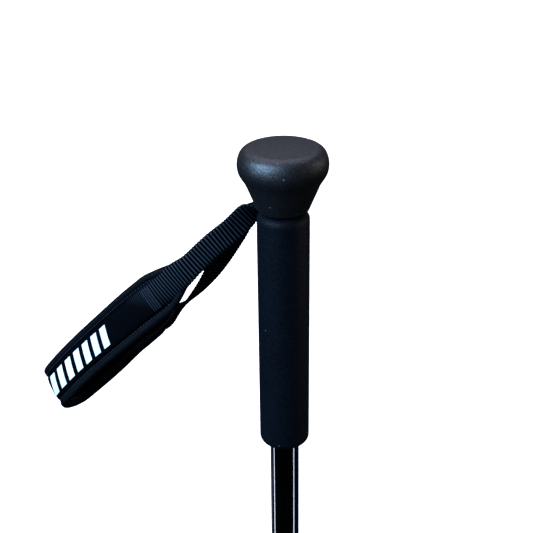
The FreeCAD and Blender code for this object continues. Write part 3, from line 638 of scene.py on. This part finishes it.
def make_pad(material):
    """The foam pad in its mesh cover, under the tape; its ends are rounded off over their last stretch."""
    s = np.linspace(PAD_START, PAD_END, 240)
    inset, rounded = 1.3 * MM, 9 * MM
    half = PAD_HALF * pad_share(s) - inset
    low = 0.25 * MM + 0.7 * sink(s)
    turn = np.linspace(0, 2 * np.pi, 40, endpoint=False)
    cos, sin = np.cos(turn), np.sin(turn)
    ends = np.sqrt(np.clip(np.minimum(s - PAD_START, PAD_END - s) / rounded, 0, 1)) * 0.85 + 0.15

    def section(i):
        a = np.sign(cos) * np.abs(cos) ** 0.55 * half[i]
        n = np.sign(sin) * np.abs(sin) ** 0.8 * PAD_THICK * 0.36 * ends[i] - low[i]
        return a, n

    rings = strap.rings(s, section)
    uvs = [(s[i], c) for i in range(len(s)) for c in cos * PAD_HALF]
    return piece("strap_pad_body", np.concatenate(rings), skin(rings), uvs, material)


def edge_loop():
    """The binding's line, as distances along and offsets across and out: up one edge, down the other."""
    inset, bulge = 1.5 * MM, 1.2 * MM
    s = np.linspace(PAD_START + inset, PAD_END - inset, 280)
    a = PAD_HALF * pad_share(s) - ROLL_HALF
    low = -sink(s)
    sides = []
    for sign, order in ((1, slice(None)), (-1, slice(None, None, -1))):
        sides.append(np.stack([s[order], sign * a[order], low[order]], axis=1))
    ends = []
    for place, half, sign in ((s[-1], a[-1], 1), (s[0], a[0], -1)):
        across = np.linspace(1, -1, 14)[1:-1] * sign
        ends.append(np.stack([place + sign * bulge * (1 - across ** 2), across * half,
                              np.full(len(across), low[0])], axis=1))
    return np.concatenate([sides[0], ends[0], sides[1], ends[1]])


def make_binding(material):
    """A soft roll of tape folded round the pad's edge, all the way round; it flattens under the tape."""
    line = edge_loop()
    centre, _, across, out = strap.axes(line[:, 0])
    path = centre + across * line[:, 1:2] + out * line[:, 2:3]
    forward = unit(np.roll(path, -1, axis=0) - np.roll(path, 1, axis=0))
    side = unit(np.cross(forward, out))
    up = np.cross(side, forward)
    turn = np.linspace(0, 2 * np.pi, 18, endpoint=False)
    fullness = 0.4 + 0.6 * from_ends(line[:, 0], 0, COVER)
    wide = np.cos(turn) * ROLL_HALF
    tall = np.sign(np.sin(turn)) * np.abs(np.sin(turn)) ** 0.85 * ROLL_TALL
    rings = [path[i] + side[i] * (wide * (0.6 + 0.4 * fullness[i]))[:, None]
             + up[i] * (tall * fullness[i])[:, None] for i in range(len(path))]
    run = np.concatenate([[0], np.cumsum(np.linalg.norm(np.diff(path, axis=0), axis=1))])
    uvs = [(run[i], t * ROLL_HALF) for i in range(len(path)) for t in turn]
    return piece("strap_pad_binding", np.concatenate(rings), skin(rings, closed=True), uvs, material)


def make_stitches(name, spots, material, length, radius):
    """Thread lying on the surface: one bead for each (distance, across, outward, heading in degrees)."""
    spots = np.array(spots)
    centre, along, across, out = strap.axes(spots[:, 0])
    middle = centre + across * spots[:, 1:2] + out * spots[:, 2:3]
    heading = np.radians(spots[:, 3])[:, None]
    forward = along * np.cos(heading) + across * np.sin(heading)
    side = np.cross(out, forward)
    stops = ((-1, 0.35), (-0.7, 0.85), (0, 1), (0.7, 0.85), (1, 0.35))
    turn = np.linspace(0, 2 * np.pi, 6, endpoint=False)[:, None]
    points, faces, uvs = [], [], []
    for i in range(len(spots)):
        spokes = side[i] * np.cos(turn) + out[i] * np.sin(turn)
        rings = []
        for place, size in stops:
            core = middle[i] + forward[i] * (place * length / 2) - out[i] * (radius * 0.8 * place ** 2)
            rings.append(core + spokes * radius * size)
        base = len(points)
        faces += [tuple(base + k for k in face) for face in skin(rings)]
        for ring in rings:
            points += list(ring)
            uvs += [(i, k) for k in range(len(turn))]
    return piece(name, points, faces, uvs, material)


def seam_spots():
    """Lock stitches between tape and binding, on both faces of the pad."""
    end_gap, pitch, outer, inner = 22 * MM, 2.5 * MM, 1.55 * MM, -1.8 * MM
    spots = []
    for s in np.arange(PAD_START + end_gap, PAD_END - end_gap, pitch):
        edge = PAD_HALF * pad_share(s) - 2 * ROLL_HALF + 0.2 * MM
        for sign in (1, -1):
            spots.append((s, sign * edge, outer, 0))
            spots.append((s, sign * edge, inner, 0))
    return spots


def bar_tack_spots(start):
    """A dense zigzag across the tape, between its coarse and its fine ribs."""
    rows, count, row_pitch, pitch, height, slant = 4, 17, 1.6 * MM, 0.9 * MM, 2.3 * MM, 35
    spots = []
    for row in range(rows):
        for k in range(count):
            a = (k - count // 2) * pitch
            turn = slant if k % 2 else -slant
            spots.append((start + row * row_pitch, a, height + bow(a, BAND_HALF), turn))
    return spots


def make_bars(material):
    """Plain slanted reflective bars printed on the tape near the far end."""
    points, faces, uvs = [], [], []
    first, pitch, width, tall, lean = PAD_START + 71 * MM, 9.6 * MM, 5.8 * MM, 6.3 * MM, 2.2 * MM
    fine, high = 18, 12
    for bar in range(7):
        base = len(points)
        t, v = np.meshgrid(np.linspace(0, 1, fine), np.linspace(-1, 1, high), indexing="ij")
        s = first + bar * pitch + t.ravel() * width + v.ravel() * lean
        a = v.ravel() * tall
        centre, _, across, out = strap.axes(s)
        lift = PAD_THICK / 2 + 0.3 * MM + bow(a, BAND_HALF)
        points += list(centre + across * a[:, None] + out * lift[:, None])
        uvs += list(zip(s, a))
        for i in range(fine - 1):
            for k in range(high - 1):
                corner = base + i * high + k
                faces.append((corner, corner + high, corner + high + 1, corner + 1))
    return piece("strap_print", points, faces, uvs, material)


# ---------------------------------------------------------------- put it together
def finish_nodes():
    foam = foam_finish("grip_foam_look", (0.0007, 0.0016, 0.0032), (0.002, 0.0042, 0.0078), 0.02, 0.09, 0.55)
    knob = foam_finish("knob_foam_look", (0.0013, 0.0017, 0.0028), (0.0035, 0.0042, 0.007), 0.07, 0.66, 0.43)
    tube = painted_finish("tube_gloss", (0.0002, 0.0002, 0.0002), 0.07, 0.03, 0.000005, 0.004)
    coat = painted_finish("powder_coat", (0.01, 0.01, 0.011), 0.45, 0.35, 0.00012, 0.0011)
    cast = painted_finish("hub_coat", (0.012, 0.012, 0.013), 0.5, 0.35, 0.00016, 0.0014)
    rubber = rubber_finish("tip_rubber_look", (0.016, 0.016, 0.017))
    nylon = moulded_finish("nylon_look", (0.012, 0.012, 0.013), 0.42)
    core = moulded_finish("core_look", (0.05, 0.05, 0.05), 0.5)
    steel = metal_finish("zinc_steel", (0.55, 0.56, 0.58), 0.32, 1500.0)
    chrome = metal_finish("chrome_look", (0.75, 0.76, 0.78), 0.1, 900.0)
    alloy = metal_finish("alloy_look", (0.7, 0.7, 0.71), 0.35, 1200.0)
    looks = {"grip_foam": foam, "knob_foam": knob, "tube_black": tube, "base_black": coat, "hub_black": cast,
             "tip_rubber": rubber, "nylon_black": nylon, "core_plastic": core, "bare_steel": steel,
             "chrome_button": chrome, "insert_alloy": alloy}
    slots = {part["node"]: part["material_slot"] for part in frame["record"]["subparts"]}
    for name, node in nodes.items():
        if slots[name] in looks:
            for place in node.material_slots:
                place.material = looks[slots[name]]


def make_strap():
    # the tape's light colour is the painted highlight on its rib crests
    tape = webbing_finish("tape_look", (0.0002, 0.0004, 0.0008), (0.011, 0.022, 0.038), 0.0004)
    edge = binding_finish("binding_look", (0.0006, 0.0012, 0.0022), (0.002, 0.0035, 0.006))
    cover = mesh_finish("pad_mesh_look", (0.0002, 0.0002, 0.0004), (0.0009, 0.001, 0.0018))
    thread = thread_finish("thread_look", (0.006, 0.011, 0.018), (0.025, 0.045, 0.07))
    white = print_finish("print_look")

    webbing = make_webbing(tape)
    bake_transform(webbing)
    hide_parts("strap_front_webbing", "strap_back_webbing")

    tab = make_eyelet_tab(tape)
    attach(tab, "strap_root")
    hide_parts("strap_tab")

    pad = make_pad(cover)
    binding = make_binding(edge)
    seams = make_stitches("strap_seams", seam_spots(), thread, 1.7 * MM, 0.22 * MM)
    half_tack = 2.4 * MM
    tack_spots = bar_tack_spots(PAD_START + TACK - half_tack) + bar_tack_spots(PAD_END - TACK - half_tack)
    tacks = make_stitches("strap_bar_tacks", tack_spots, thread, 1.3 * MM, 0.2 * MM)
    bars = make_bars(white)
    for thing in (pad, binding, seams, tacks, bars):
        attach(thing, "strap_loop")
    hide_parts("strap_pad")


make_camera()
make_studio()
finish_nodes()
make_strap()
